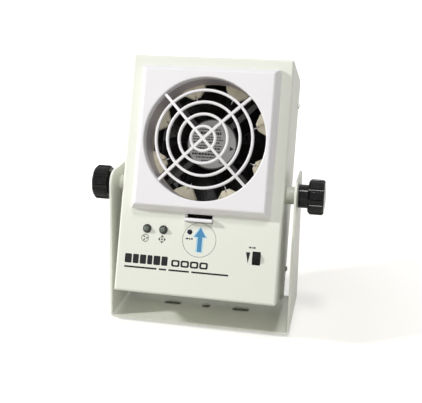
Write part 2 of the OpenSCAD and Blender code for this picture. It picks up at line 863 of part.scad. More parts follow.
module fan_lead() {
    x = lead_out_r * cos(lead_angle);
    z = -lead_out_r * sin(lead_angle);
    color(black_plastic) in_head() translate([0, lead_y, 0]) {
        at_outlet() rotate([0, lead_angle, 0]) rod_x(hub_r, lead_out_r - hub_r, lead_r);
        translate([x, 0, outlet_z + z]) sphere(lead_r + 0.1);
        translate([x, 0, supply_z + board_t + 5])
            cylinder(h = outlet_z + z - supply_z - board_t - 5, r = lead_r);
    }
}

module intake_gasket() {
    y = fan_back_y + soft_gap;
    color(foam_grey) in_head() at_outlet()
        tube_y(y, inner_back_y - soft_gap - y, intake_r + 4, intake_r);
}

// ---- intake filter on the rear panel ----
module filter_base() {
    side = filter_size - 4.6;
    foam_y = back_y + filter_base_t;
    color(black_plastic) in_head() at_outlet() difference() {
        slab_y(back_y, filter_d - 2.4) round_rect(side, side, 4);
        slab_y(foam_y, filter_d) round_rect(side - 3, side - 3, 3);
        difference() {
            rod_y(back_y - 1, filter_base_t + 2, intake_r);
            for (a = [0, 90]) rotate([0, a, 0])
                block([-intake_r, back_y - 2, -1.5], [2 * intake_r, filter_base_t + 4, 3]);
            tube_y(back_y - 2, filter_base_t + 4, 30, 27);
        }
        four(fan_hole, fan_hole) rod_y(back_y - 1, filter_base_t + 2, m4_hole_r);
    }
}

module filter_screws() {
    color(bare_steel) in_head() at_outlet() four(fan_hole, fan_hole) {
        rod_y(inner_back_y - 3.4, case_sheet + filter_base_t + 3.4, m4_r);
        difference() {
            slab_y(inner_back_y - 3.2, 3.2) circle(4.04, $fn = 6);
            rod_y(inner_back_y - 4, 5, m4_r - 0.5);
        }
    }
}

module filter_foam() {
    side = filter_size - 8.4;
    y = back_y + filter_base_t + soft_gap;
    color(foam_grey) in_head() at_outlet()
        slab_y(y, foam_t - soft_gap) round_rect(side, side, 4);
}

module filter_retainer() {
    inner = filter_size - 4;
    plate_y = back_y + filter_d - 2.2;
    slot_w = 3.4;
    pitch = 6;
    color(black_plastic) in_head() at_outlet() difference() {
        slab_y(back_y + 0.3, filter_d - 0.3) round_rect(filter_size, filter_size, 5);
        slab_y(back_y - 1, plate_y - back_y + 1) round_rect(inner, inner, 4);
        slab_y(plate_y - 1, 5) for (s = [-1, 1], i = [-8 : 8])
            translate([s * (inner / 4 - 1), i * pitch])
                slot_outline(inner / 2 - 10, slot_w);
    }
}

// ---- power inlet, fuse drawer and rocker ----
module at_inlet() {
    translate([inlet_x, 0, inlet_z]) children();
}

module socket_outline() {
    w = socket_size[0] / 2;
    h = socket_size[1] / 2;
    polygon([[-w, -h], [w, -h], [w, h - 5], [w - 5, h], [-w + 5, h], [-w, h - 5]]);
}

module power_inlet() {
    out_y = back_y + inlet_flange[2];
    color(black_plastic) in_head() at_inlet() difference() {
        union() {
            slab_y(back_y, inlet_flange[2]) {
                round_rect(30, inlet_flange[1], 3);
                translate([0, socket_dz]) round_rect(inlet_flange[0], 12, 5.9);
            }
            slab_y(back_y - inlet_body[2], inlet_body[2] + 1)
                square([inlet_body[0], inlet_body[1]], center = true);
        }
        translate([0, 0, socket_dz]) slab_y(out_y - socket_size[2], socket_size[2] + 1)
            socket_outline();
        translate([0, 0, drawer_dz]) slab_y(out_y - drawer_size[2] - 4, drawer_size[2] + 5)
            square([drawer_size[0] + 2 * fit_gap, drawer_size[1] + 2 * fit_gap], center = true);
        translate([0, 0, rocker_dz]) slab_y(out_y - 14, 15)
            square([rocker_size[0] + 0.6, rocker_size[1] + 0.6], center = true);
        for (s = [-1, 1]) translate([s * 20, 0, socket_dz]) rod_y(back_y - 1, 5, 1.7);
        // blind seats for the rocker's trunnions
        translate([0, out_y - rocker_axis, rocker_dz])
            rod_x(-rocker_size[0] / 2 - 1.6, rocker_size[0] + 3.2, 1.3);
    }
}

module inlet_screws() {
    color(bare_steel) in_head() at_inlet() for (s = [-1, 1])
        translate([s * 20, back_y + inlet_flange[2], socket_dz]) rotate([0, 0, 180])
            screw_y(0, 9, 1.5);
}

module inlet_pins() {
    y = back_y + inlet_flange[2] - socket_size[2];
    color(bare_steel) in_head() at_inlet() {
        for (s = [-1, 1]) translate([s * 7, 0, socket_dz - 2])
            slab_y(y, 12) square([2, 4], center = true);
        translate([0, 0, socket_dz + 2]) slab_y(y, 13) square([2, 4], center = true);
    }
}

module inlet_terminals() {
    y = back_y - inlet_body[2];
    color(brass) in_head() at_inlet() {
        for (x = [-8, 0, 8]) translate([x, 0, socket_dz]) slab_y(y - 8, 8)
            square([0.8, 4.8], center = true);
        for (x = [-6, 6]) translate([x, 0, rocker_dz]) slab_y(y - 8, 8)
            square([0.8, 4.8], center = true);
    }
}

module fuse_drawer() {
    out_y = back_y + inlet_flange[2];
    color(black_plastic) in_head() at_inlet() translate([0, 0, drawer_dz]) difference() {
        union() {
            slab_y(out_y - drawer_size[2], drawer_size[2] + 0.6)
                square([drawer_size[0], drawer_size[1]], center = true);
            block([-4, out_y, drawer_size[1] / 2 - 1.5], [8, 1.6, 1.5]);
        }
        translate([0, 0, -1]) block([-fuse_l / 2 - 0.5, out_y - 12, -fuse_r - 0.4],
            [fuse_l + 1, 8, 2 * fuse_r + 5]);
    }
}

module fuse() {
    out_y = back_y + inlet_flange[2];
    color([0.85, 0.88, 0.88]) in_head() at_inlet()
        translate([0, out_y - 8, drawer_dz - 1.4 + fuse_r - 2.2]) {
            rod_x(-fuse_l / 2 + 5, fuse_l - 10, fuse_r - 0.2);
            for (x = [-fuse_l / 2, fuse_l / 2 - 5]) rod_x(x, 5, fuse_r);
        }
}

module power_rocker() {
    out_y = back_y + inlet_flange[2];
    color(black_plastic) in_head() at_inlet() translate([0, out_y - rocker_axis, rocker_dz]) {
        slab_x(-rocker_size[0] / 2, rocker_size[0]) rotate(-8) intersection() {
            polygon([[-3, -3], [-3, 3], [rocker_axis + 1.6, 5.6], [rocker_axis - 0.2, 0],
                [rocker_axis + 1.6, -5.6]]);
            circle(rocker_r);
        }
        rod_x(-rocker_size[0] / 2 - 1.4, rocker_size[0] + 2.8, 1.2);
    }
}

// ---- control board and what it carries ----
module at_board() {
    translate([0, 0, board_z]) children();
}

module control_board() {
    color(board_green) in_head() at_board() difference() {
        slab_y(board_y, board_t) round_rect(board_w, board_h, 2);
        four(board_hole[0], board_hole[1]) rod_y(board_y - 1, 4, 1.6);
    }
}

module board_standoffs() {
    color(bare_steel) in_head() at_board() four(board_hole[0], board_hole[1]) difference() {
        slab_y(inner_face_y, board_y - inner_face_y) circle(3.2, $fn = 6);
        rod_y(board_y - 8, 9, 1.5);
    }
}

module board_screws() {
    color(bare_steel) in_head() at_board() four(board_hole[0], board_hole[1])
        translate([0, board_y + board_t, 0]) rotate([0, 0, 180]) screw_y(0, 7, 1.48);
}

module lamp_bezels() {
    r = lamp_r + bezel_wall;
    color(black_plastic) in_head() for (x = lamp_x) translate([x, 0, lamp_z]) difference() {
        union() {
            translate([0, face_y, 0]) rotate([90, 0, 0])
                cylinder(h = bezel_lip, r1 = r + 0.8, r2 = r + 0.3);
            rod_y(face_y, 7, r);
            rod_y(inner_face_y, 1.6, r + 1.4);
        }
        rod_y(face_y - 3, 12, lamp_r + 0.05);
    }
}

module status_lamps() {
    color([0.12, 0.16, 0.12]) in_head() for (x = lamp_x) translate([x, 0, lamp_z]) {
        translate([0, face_y - 1.2, 0]) sphere(lamp_r);
        rod_y(face_y - 1.2, 7.6, lamp_r);
        for (s = [-1, 1]) translate([s * 1.27, 0, 0])
            rod_y(face_y + 6, board_y - face_y - 6, 0.3);
    }
}

module trim_pot() {
    color([0.2, 0.3, 0.6]) in_head() translate([trim_x, 0, lamp_z]) difference() {
        block([-trim_body[0] / 2, board_y - trim_body[1], -trim_body[2] / 2], trim_body);
        rod_y(board_y - trim_body[1] - 1, 3, 1.25);
    }
}

module trim_screw() {
    y = board_y - trim_body[1] - 1.4;
    color(brass) in_head() translate([trim_x, 0, lamp_z]) difference() {
        rod_y(y, 3.2, 1.2);
        block([-2, y - 1, -0.25], [4, 1.7, 0.5]);
    }
}

pot_x = wheel_x - wheel_t / 2 - 1 - pot_size[0];

module speed_pot() {
    color([0.16, 0.16, 0.18]) in_head() difference() {
        block([pot_x, board_y - pot_size[1], wheel_z - pot_size[2] / 2], pot_size);
        translate([0, wheel_y, wheel_z]) rod_x(pot_x - 1, pot_size[0] + 2, pot_shaft_r + 0.05);
    }
}

module pot_shaft() {
    l = wheel_x + wheel_t / 2 - pot_x - 2;
    color(bare_steel) in_head() translate([0, wheel_y, wheel_z]) rod_x(pot_x + 2, l, pot_shaft_r);
}

module speed_wheel() {
    color(black_plastic) in_head() translate([0, wheel_y, wheel_z]) difference() {
        slab_x(wheel_x - wheel_t / 2, wheel_t) difference() {
            circle(wheel_r);
            for (i = [0 : wheel_grooves - 1]) rotate(i * 360 / wheel_grooves)
                translate([wheel_r + 0.15, 0]) circle(0.5, $fn = 16);
        }
        rod_x(wheel_x - wheel_t, 2 * wheel_t, pot_shaft_r);
    }
}

// ---- high voltage and supply ----
module hv_module() {
    low = [hv_x - hv_size[0] / 2, hv_y - hv_size[1] / 2, floor_z];
    color(black_plastic) in_head() difference() {
        union() {
            slab_z(floor_z, hv_size[2]) translate([hv_x, hv_y])
                round_rect(hv_size[0], hv_size[1], 2);
            for (x = hv_lead_x) translate([x, ring_y + ring_d / 2, floor_z + hv_size[2] - 1])
                cylinder(h = 5, r = 3.4);
        }
        // step in the lid round the potting
        block([low[0] + 12, low[1] + 10, floor_z + hv_size[2] - 1.2],
            [hv_size[0] - 14, hv_size[1] - 12, 3]);
    }
}

module hv_leads() {
    z = floor_z + hv_size[2] + 4;
    color([0.75, 0.15, 0.12]) in_head() for (x = hv_lead_x)
        translate([x, ring_y + ring_d / 2, z])
            cylinder(h = outlet_z - fan_size / 2 - z, r = 1.6);
}

module supply_board() {
    color(board_green) in_head() difference() {
        slab_z(supply_z, board_t) translate([supply_x, supply_y])
            round_rect(supply_size[0], supply_size[1], 1.5);
        translate([supply_x, supply_y, supply_z - 1])
            for (sx = [-1, 1], sy = [-1, 1])
                translate([sx * (supply_size[0] / 2 - 4), sy * (supply_size[1] / 2 - 4)])
                    cylinder(h = 4, r = 1.6);
    }
}

module supply_standoffs() {
    color(bare_steel) in_head() translate([supply_x, supply_y, floor_z])
        for (sx = [-1, 1], sy = [-1, 1])
            translate([sx * (supply_size[0] / 2 - 4), sy * (supply_size[1] / 2 - 4)]) {
                cylinder(h = supply_z - floor_z, r = 2.8);
                cylinder(h = supply_z - floor_z + board_t + 1, r = 1.55);
                translate([0, 0, supply_z - floor_z + board_t]) cylinder(h = 1.6, r = 2.8);
            }
}

module supply_transformer() {
    z = supply_z + board_t;
    color([0.85, 0.75, 0.2]) in_head() translate([supply_x - 3, supply_y, 0]) {
        slab_z(z, 3) round_rect(22, 20, 1);
        slab_z(z + 3, 12) round_rect(18, 14, 3);
        slab_z(z + 15, 2.5) round_rect(22, 20, 1);
    }
}

module supply_capacitor() {
    z = supply_z + board_t;
    color([0.15, 0.15, 0.3]) in_head() translate([supply_x - 21.5, supply_y - 2, z])
        cylinder(h = 21, r = 6);
}

// ---- wiring ----
// two leads from the rocker's terminals to the supply board
module mains_leads() {
    y = terminal_y + 1;
    color([0.35, 0.2, 0.12]) in_head() for (x = [-6, 6])
        translate([inlet_x + x, y, 0]) {
            translate([0, 0, supply_z + board_t])
                cylinder(h = inlet_z + rocker_dz - 2.4 - supply_z - board_t, r = lead_r);
            translate([0, 0, inlet_z + rocker_dz - 3.4]) cylinder(h = 1, r1 = lead_r, r2 = 1.5);
        }
}

// earth lead from the inlet's middle terminal to a stud on the case's floor
module earth_lead() {
    x = inlet_x;
    color([0.3, 0.55, 0.2]) in_head() translate([x, earth_y, 0]) {
        translate([0, 0, floor_z + earth_stud_h])
            cylinder(h = inlet_z + socket_dz - 2.4 - floor_z - earth_stud_h, r = lead_r);
        translate([0, 0, floor_z + 2]) difference() {
            cylinder(h = earth_stud_h, r = 3.2);
            translate([0, 0, -1]) cylinder(h = earth_stud_h - 1, r = m4_r + 0.02);
        }
    }
}

// a ribbon from the supply board to the control board, and two leads to the high voltage module
module board_leads() {
    back = board_y + board_t;
    low = supply_z + board_t;
    foot = supply_y - supply_size[1] / 2 + 3;
    top = board_z - board_h / 2 + 8;
    color([0.6, 0.6, 0.62]) in_head() {
        slab_x(supply_x + 2, 12) polygon([
            [back, top], [back, top - 4], [back + 1.4, top - 4], [foot, low], [foot + 1, low],
            [foot + 1, low + 0.8], [back + 2.6, top - 3.2], [back + 2.6, top]
        ]);
        for (dy = [-3, 3]) translate([0, supply_y + dy, low + lead_r])
            rod_x(hv_x + hv_size[0] / 2, supply_x - supply_size[0] / 2 + 2 - hv_x - hv_size[0] / 2,
                lead_r);
    }
}

stand_bracket();
stand_feet();
pivot_spacers();
knob_left();
knob_right();
knob_stud_left();
knob_stud_right();
case_shell();
pivot_nuts();
rear_panel();
case_screws();
front_cover();
cover_grille();
cover_latch();
latch_guide();
air_duct();
emitter_ring();
emitter_needles();
emitter_wire();
weld_studs();
fan_nuts();
fan_frame();
motor_label();
fan_rotor();
rotor_magnet();
fan_shaft();
fan_bearings();
fan_stator();
fan_lead();
intake_gasket();
filter_base();
filter_screws();
filter_foam();
filter_retainer();
power_inlet();
inlet_screws();
inlet_pins();
inlet_terminals();
fuse_drawer();
fuse();
power_rocker();
control_board();
board_standoffs();
board_screws();
lamp_bezels();
status_lamps();
trim_pot();
trim_screw();
speed_pot();
pot_shaft();
speed_wheel();
hv_module();
hv_leads();
supply_board();
supply_standoffs();
supply_transformer();
supply_capacitor();
mains_leads();
earth_lead();
board_leads();
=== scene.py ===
import json
import math
import random

import bmesh
import bpy
from mathutils import Matrix, Vector
from mathutils.bvhtree import BVHTree


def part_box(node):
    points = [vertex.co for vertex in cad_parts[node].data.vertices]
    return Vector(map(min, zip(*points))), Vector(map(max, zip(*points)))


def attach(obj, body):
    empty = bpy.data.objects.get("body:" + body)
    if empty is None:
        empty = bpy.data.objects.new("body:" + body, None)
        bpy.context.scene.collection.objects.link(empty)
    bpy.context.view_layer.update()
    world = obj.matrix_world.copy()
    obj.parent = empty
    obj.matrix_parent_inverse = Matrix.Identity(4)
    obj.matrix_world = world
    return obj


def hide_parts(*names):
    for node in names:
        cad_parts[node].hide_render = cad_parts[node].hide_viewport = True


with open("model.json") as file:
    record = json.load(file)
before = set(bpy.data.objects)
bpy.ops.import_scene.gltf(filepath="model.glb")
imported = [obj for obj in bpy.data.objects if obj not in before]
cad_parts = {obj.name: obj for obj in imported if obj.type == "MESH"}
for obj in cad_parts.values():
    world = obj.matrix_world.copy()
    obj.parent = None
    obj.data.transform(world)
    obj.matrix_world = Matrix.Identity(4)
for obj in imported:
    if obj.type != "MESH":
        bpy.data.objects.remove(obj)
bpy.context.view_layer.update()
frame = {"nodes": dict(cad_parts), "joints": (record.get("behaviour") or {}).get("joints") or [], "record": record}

print("frame loaded with", len(frame["nodes"]), "nodes")

mm = 0.001
joints = {joint["name"]: joint for joint in frame["joints"]}

# the leaning head's own axes: x right, y to the back, z up along the case, from the tilt axis
headUp = Vector(joints["latch_lift"]["axis"])
headBack = -Vector(joints["cover_pull"]["axis"])
headAxes = Matrix((Vector((1, 0, 0)), headBack, headUp)).transposed()
headPlace = Matrix.Translation(Vector(joints["head_tilt"]["pos_m"])) @ headAxes.to_4x4()


# low and high corners of a node, in the head's axes
def headBox(name):
    inside = headPlace.inverted()
    spots = [inside @ vertex.co for vertex in frame["nodes"][name].data.vertices]
    low = Vector([min(spot[axis] for spot in spots) for axis in range(3)])
    high = Vector([max(spot[axis] for spot in spots) for axis in range(3)])
    return low, high


# shader graph
class Value:
    # an output socket: an expression on it adds its Math nodes
    def __init__(self, finish, socket):
        self.finish = finish
        self.socket = socket

    def math(self, operation, first, second):
        return self.finish.add("ShaderNodeMath", {"operation": operation}, {0: first, 1: second})

    def __add__(self, other):
        return self.math("ADD", self, other)

    def __radd__(self, other):
        return self.math("ADD", other, self)

    def __sub__(self, other):
        return self.math("SUBTRACT", self, other)

    def __rsub__(self, other):
        return self.math("SUBTRACT", other, self)

    def __mul__(self, other):
        return self.math("MULTIPLY", self, other)

    def __rmul__(self, other):
        return self.math("MULTIPLY", other, self)

    def __gt__(self, other):
        return self.math("GREATER_THAN", self, other)


class Finish:
    # the nodes of one material, or of the sky, that feed its shader
    def __init__(self, name, owners="materials", shader="Principled BSDF"):
        self.owner = getattr(bpy.data, owners).new(name)
        self.owner.use_nodes = True
        self.tree = self.owner.node_tree
        self.shader = self.tree.nodes[shader]

    def feed(self, socket, value):
        if isinstance(value, Value):
            self.tree.links.new(value.socket, socket)
        else:
            socket.default_value = value

    def add(self, kind, settings=None, sockets=None, output=0):
        node = self.tree.nodes.new(kind)
        for name, value in (settings or {}).items():
            setattr(node, name, value)
        for name, value in (sockets or {}).items():
            self.feed(node.inputs[name], value)
        return Value(self, node.outputs[output])

    def set(self, **values):
        for name, value in values.items():
            self.feed(self.shader.inputs[name.replace("_", " ")], value)
        return self.owner

    # textures are laid in the piece's own metres, so they stay put as it moves
    def where(self, stretch=(1, 1, 1)):
        spot = self.add("ShaderNodeTexCoord", output="Object")
        return self.add("ShaderNodeVectorMath", {"operation": "MULTIPLY"}, {0: spot, 1: stretch})

    def noise(self, size, detail, stretch=(1, 1, 1)):
        sockets = {"Vector": self.where(stretch), "Scale": 1 / size, "Detail": detail}
        return self.add("ShaderNodeTexNoise", None, sockets)

    def cells(self, size):
        sockets = {"Vector": self.where(), "Scale": 1 / size}
        return self.add("ShaderNodeTexVoronoi", None, sockets, "Distance")

    def between(self, value, low, high):
        sockets = {"Value": value, "From Min": low, "From Max": high}
        return self.add("ShaderNodeMapRange", {"clamp": True}, sockets)

    def mix(self, first, second, share):
        sockets = {0: share, 6: first, 7: second}
        return self.add("ShaderNodeMix", {"data_type": "RGBA"}, sockets, 2)

    def eased(self, radius):
        return self.add("ShaderNodeBevel", {"samples": 6}, {"Radius": radius})

    # near 1 on edges sharper than the radius
    def edges(self, radius):
        flat = self.add("ShaderNodeNewGeometry", output="Normal")
        sockets = {0: self.eased(radius), 1: flat}
        facing = self.add("ShaderNodeVectorMath", {"operation": "DOT_PRODUCT"}, sockets, "Value")
        return self.between(1 - facing, 0.02, 0.25)

    def bump(self, height, depth, radius=0.0):
        sockets = {"Height": height, "Distance": depth, "Strength": 1.0}
        if radius:
            sockets["Normal"] = self.eased(radius)
        return self.add("ShaderNodeBump", None, sockets)

    # 1 where the camera looks, straight or by a reflection or through glass, 0 for light that bounces
    def seen(self):
        kinds = ("Is Camera Ray", "Is Glossy Ray", "Is Transmission Ray")
        camera, glossy, through = [self.add("ShaderNodeLightPath", output=kind) for kind in kinds]
        return camera + glossy + through > 0.5


def shade(colour, factor=1.0):
    return [channel * factor for channel in colour] + [1.0]


# finishes, one function for each kind of surface
paint = {"peelSize": 1.4 * mm, "peelDepth": 0.012 * mm, "patchSize": 70 * mm, "dustSize": 9 * mm,
         "dustColour": (0.80, 0.78, 0.70), "edgeRadius": 0.5 * mm}


def powderCoat(name, colour):
    finish = Finish(name)
    patches = finish.noise(paint["patchSize"], 3.0)
    dust = finish.between(finish.noise(paint["dustSize"], 6.0), 0.55, 0.8)
    peel = finish.noise(paint["peelSize"], 1.5)
    tone = finish.mix(shade(colour), shade(colour, 0.955), patches)
    tone = finish.mix(tone, shade(paint["dustColour"]), dust * 0.10)
    # edges 4% lighter than the paint: a painted highlight along every edge
    tone = finish.mix(tone, shade(colour, 1.04), finish.edges(paint["edgeRadius"]) * 0.5)
    return finish.set(
        Base_Color=tone, Roughness=0.36 + 0.10 * patches + 0.10 * dust, IOR=1.5,
        Normal=finish.bump(peel, paint["peelDepth"], paint["edgeRadius"]))


moulding = {"grainSize": 0.35 * mm, "patchSize": 45 * mm, "scuffSize": 3 * mm, "edgeRadius": 0.4 * mm,
            "scuffGrey": 0.32}


def mouldedPlastic(name, colour, roughness, grain=0.006 * mm, worn=0.3, ior=1.48):
    finish = Finish(name)
    patches = finish.noise(moulding["patchSize"], 3.0)
    grains = finish.noise(moulding["grainSize"], 2.0)
    scuffs = finish.between(finish.noise(moulding["scuffSize"], 8.0, (1, 1, 0.25)), 0.58, 0.75)
    rubbed = finish.edges(moulding["edgeRadius"]) * worn
    light = shade([0.6 * channel + moulding["scuffGrey"] for channel in colour])
    tone = finish.mix(shade(colour), shade(colour, 0.93), patches)
    tone = finish.mix(tone, light, rubbed * 0.35 + scuffs * 0.05)
    return finish.set(
        Base_Color=tone, Roughness=roughness + 0.08 * patches + 0.14 * scuffs, IOR=ior,
        Normal=finish.bump(grains, grain, moulding["edgeRadius"]))


plating = {"lineSize": 0.25 * mm, "lineDepth": 0.004 * mm, "bloomSize": 6 * mm, "wearRadius": 0.3 * mm,
           "edgeRadius": 0.2 * mm}


def platedMetal(name, colour, roughness):
    finish = Finish(name)
    lines = finish.noise(plating["lineSize"], 3.0, (0.12, 1, 1))
    bloom = finish.noise(plating["bloomSize"], 4.0)
    tone = finish.mix(shade(colour), shade(colour, 0.82), bloom)
    tone = finish.mix(tone, shade(colour, 1.12), finish.edges(plating["wearRadius"]) * 0.6)
    return finish.set(
        Base_Color=tone, Metallic=1.0, Roughness=roughness + 0.16 * lines + 0.08 * bloom,
        Normal=finish.bump(lines, plating["lineDepth"], plating["edgeRadius"]))


rubber = {"grainSize": 0.5 * mm, "grainDepth": 0.03 * mm, "dustSize": 5 * mm,
          "dustColour": (0.32, 0.31, 0.29), "edgeRadius": 0.4 * mm}


def rubberFinish(name, colour):
    finish = Finish(name)
    grains = finish.noise(rubber["grainSize"], 4.0)
    dust = finish.between(finish.noise(rubber["dustSize"], 5.0), 0.45, 0.8)
    tone = finish.mix(shade(colour), shade(rubber["dustColour"]), dust * 0.25)
    return finish.set(Base_Color=tone, Roughness=0.72 + 0.15 * grains,
                      Normal=finish.bump(grains, rubber["grainDepth"], rubber["edgeRadius"]))


foam = {"poreSize": 1.1 * mm, "smallSize": 0.45 * mm, "poreDepth": 0.5 * mm}


def openFoam(name, colour):
    finish = Finish(name)
    depth = finish.cells(foam["poreSize"]) * 0.7 + finish.cells(foam["smallSize"]) * 0.3
    # pore bottoms darker and cell walls lighter: painted shade in the pores, painted highlight on the walls
    tone = finish.mix(shade(colour, 0.35), shade(colour, 1.35), finish.between(depth, 0.1, 0.7))
    return finish.set(Base_Color=tone, Roughness=0.95, Normal=finish.bump(depth, foam["poreDepth"]))


foil = {"lineSize": 0.2 * mm, "creaseSize": 4 * mm, "creaseDepth": 0.05 * mm}


def labelFoil(name, colour):
    finish = Finish(name)
    lines = finish.noise(foil["lineSize"], 2.0, (0.05, 1, 1))
    creases = finish.noise(foil["creaseSize"], 4.0)
    tone = finish.mix(shade(colour), shade(colour, 0.85), creases)
    return finish.set(Base_Color=tone, Metallic=0.15, Roughness=0.42 + 0.12 * lines,
                      Normal=finish.bump(creases, foil["creaseDepth"]))


winding = {"turnsPerMetre": 700.0, "wander": 1.5, "turnDepth": 0.15 * mm}


def copperWinding(name, colour):
    finish = Finish(name)
    sockets = {"Vector": finish.where(), "Scale": winding["turnsPerMetre"],
               "Distortion": winding["wander"]}
    turns = finish.add("ShaderNodeTexWave", {"bands_direction": "DIAGONAL"}, sockets, "Fac")
    # troughs between the turns darker and crests lighter: painted shade between the wires, painted highlight on
    # them
    tone = finish.mix(shade(colour, 0.5), shade(colour, 1.1), turns)
    return finish.set(Base_Color=tone, Metallic=0.8, Roughness=0.35,
                      Normal=finish.bump(turns, winding["turnDepth"]))


board = {"tracksPerMetre": 120.0, "trackWidth": 0.035, "trackShift": 0.37, "trackDepth": 0.04 * mm,
         "patchSize": 12 * mm}


def boardMask(name, colour):
    finish = Finish(name)
    sockets = {"Vector": finish.where(), "Scale": board["tracksPerMetre"],
               "Mortar Size": board["trackWidth"]}
    tracks = finish.add("ShaderNodeTexBrick", {"offset": board["trackShift"]}, sockets, "Fac")
    patches = finish.noise(board["patchSize"], 2.0)
    tone = finish.mix(shade(colour), shade(colour, 1.6), tracks)
    tone = finish.mix(tone, shade(colour, 0.8), patches * 0.5)
    return finish.set(Base_Color=tone, Roughness=0.32 + 0.1 * patches, Coat_Weight=0.3,
                      Normal=finish.bump(tracks, board["trackDepth"]))


glass = {"hazeSize": 2 * mm}


def clearGlass(name, colour):
    finish = Finish(name)
    haze = finish.noise(glass["hazeSize"], 3.0)
    return finish.set(Base_Color=shade(colour), Roughness=0.05 + 0.08 * haze, Alpha=0.45 + 0.2 * haze)


lens = {"swirlSize": 1.2 * mm, "swirlDepth": 0.02 * mm}


def lampLens(name, colour):
    finish = Finish(name)
    swirl = finish.noise(lens["swirlSize"], 2.0)
    # lighter swirls across the dark lens: a painted highlight
    tone = finish.mix(shade(colour, 0.5), shade(colour, 1.8), swirl)
    return finish.set(Base_Color=tone, Roughness=0.12 + 0.1 * swirl, Coat_Weight=0.8,
                      Normal=finish.bump(swirl, lens["swirlDepth"]))


printing = {"thinSize": 0.5 * mm, "thinDepth": 0.004 * mm}


def printInk(name, colour):
    finish = Finish(name)
    thin = finish.noise(printing["thinSize"], 3.0)
    tone = finish.mix(shade(colour), shade(colour, 0.8), thin)
    return finish.set(Base_Color=tone, Roughness=0.5 + 0.2 * thin, IOR=1.3,
                      Normal=finish.bump(thin, printing["thinDepth"]))


slotFinish = {
    "case_paint": powderCoat("casePaint", (0.80, 0.815, 0.735)),
    "rubber": rubberFinish("footRubber", (0.035, 0.035, 0.035)),
    "knob_plastic": mouldedPlastic("knobGloss", (0.003, 0.003, 0.003), 0.06, 0.0005 * mm, 0.05, ior=1.3),
    "bare_steel": platedMetal("zincSteel", (0.62, 0.61, 0.59), 0.28),
    "white_plastic": mouldedPlastic("coverWhite", (0.85, 0.835, 0.855), 0.38),
    # mid grey standing in for the duct's white plastic in the cover's shade: painted shade
    "grey_plastic": mouldedPlastic("ductShadeGrey", (0.48, 0.445, 0.455), 0.42),
    "cream_plastic": mouldedPlastic("holderCream", (0.90, 0.84, 0.66), 0.4),
    "needle_metal": platedMetal("needleSteel", (0.55, 0.55, 0.57), 0.22),
    "black_plastic": mouldedPlastic("fanBlack", (0.020, 0.018, 0.017), 0.24, worn=0.1, ior=1.55),
    "label_foil": labelFoil("motorFoil", (0.50, 0.495, 0.485)),
    "magnet": rubberFinish("magnetBlack", (0.06, 0.06, 0.06)),
    "copper": copperWinding("copperWire", (0.62, 0.30, 0.14)),
    "lead_black": rubberFinish("leadBlack", (0.03, 0.03, 0.03)),
    "foam": openFoam("filterFoam", (0.10, 0.10, 0.10)),
    "brass": platedMetal("brassTurned", (0.72, 0.55, 0.25), 0.25),
    "fuse_glass": clearGlass("fuseGlass", (0.85, 0.88, 0.88)),
    "board": boardMask("boardGreen", (0.03, 0.13, 0.06)),
    "lamp_lens": lampLens("lampDark", (0.05, 0.07, 0.05)),
    "trim_blue": mouldedPlastic("trimmerBlue", (0.06, 0.13, 0.38), 0.35),
    "grey_dark_plastic": mouldedPlastic("potGrey", (0.06, 0.06, 0.07), 0.45),
    "lead_red": rubberFinish("leadRed", (0.42, 0.03, 0.02)),
    "transformer_tape": mouldedPlastic("windingTape", (0.72, 0.55, 0.08), 0.4),
    "capacitor_sleeve": mouldedPlastic("sleeveBlue", (0.03, 0.03, 0.12), 0.25),
    "lead_green": rubberFinish("leadGreen", (0.10, 0.24, 0.02)),
    "ribbon_grey": mouldedPlastic("ribbonGrey", (0.30, 0.30, 0.32), 0.45),
}

# nodes whose colour differs from the rest of their slot: the speed wheel's own black, and the trimmer's brass
# screw darkened as painted shade in its hole
nodeFinish = {
    # the brass screw coloured dark bronze: painted shade, as it sits deep in its hole
    "trim_screw": platedMetal("trimmerBrassShaded", (0.10, 0.075, 0.04), 0.35),
    "speed_wheel": mouldedPlastic("wheelBlack", (0.004, 0.004, 0.004), 0.4, ior=1.24),
}

for part in frame["record"]["subparts"]:
    node = frame["nodes"][part["node"]]
    node.data.materials.clear()
    node.data.materials.append(nodeFinish.get(part["node"], slotFinish[part["material_slot"]]))
print("finishes made:", len(slotFinish) + len(nodeFinish))


# building pieces
def inScene(name, data):
    made = bpy.data.objects.new(name, data)
    bpy.context.scene.collection.objects.link(made)
    return made


def meshObject(name, shape):
    mesh = bpy.data.meshes.new(name)
    shape.to_mesh(mesh)
    shape.free()
    return inScene(name, mesh)


def addPiece(name, shape, material, body, place=headPlace):
    bmesh.ops.recalc_face_normals(shape, faces=shape.faces)
    piece = meshObject(name, shape)
    piece.data.materials.append(material)
    piece.matrix_world = place
    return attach(piece, body)


# walls from each row of corners to the next; the rows close into a ring or are capped at both ends
def joinRows(shape, rows, closed=False):
    following = rows[1:] + rows[:1] if closed else rows[1:]
    for here, there in zip(rows, following):
        for corner in range(len(here)):
            other = (corner + 1) % len(here)
            shape.faces.new((here[corner], there[corner], there[other], here[other]))
    if not closed:
        shape.faces.new(rows[0])
        shape.faces.new(list(reversed(rows[-1])))


ink = printInk("panelInk", (0.015, 0.015, 0.017))
film = 0.05 * mm        # marks reach this far out of their face, and as far into it
caseLow, caseHigh = headBox("case_shell")
faceY = caseLow.y


# a flat mark on a face at depth y, with its outline as (x, z)
def stamp(shape, outline, y=faceY, thickness=film):
    depths = (y - thickness, y + thickness)
    joinRows(shape, [[shape.verts.new((x, depth, z)) for x, z in outline] for depth in depths])


# a closed band between two outlines with as many points
def band(shape, outer, inner, y=faceY, thickness=film):
    rows = []
    for (outX, outZ), (inX, inZ) in zip(outer, inner):
        corners = ((outX, y - thickness, outZ), (inX, y - thickness, inZ),
                   (inX, y + thickness, inZ), (outX, y + thickness, outZ))
        rows.append([shape.verts.new(corner) for corner in corners])
    joinRows(shape, rows, closed=True)


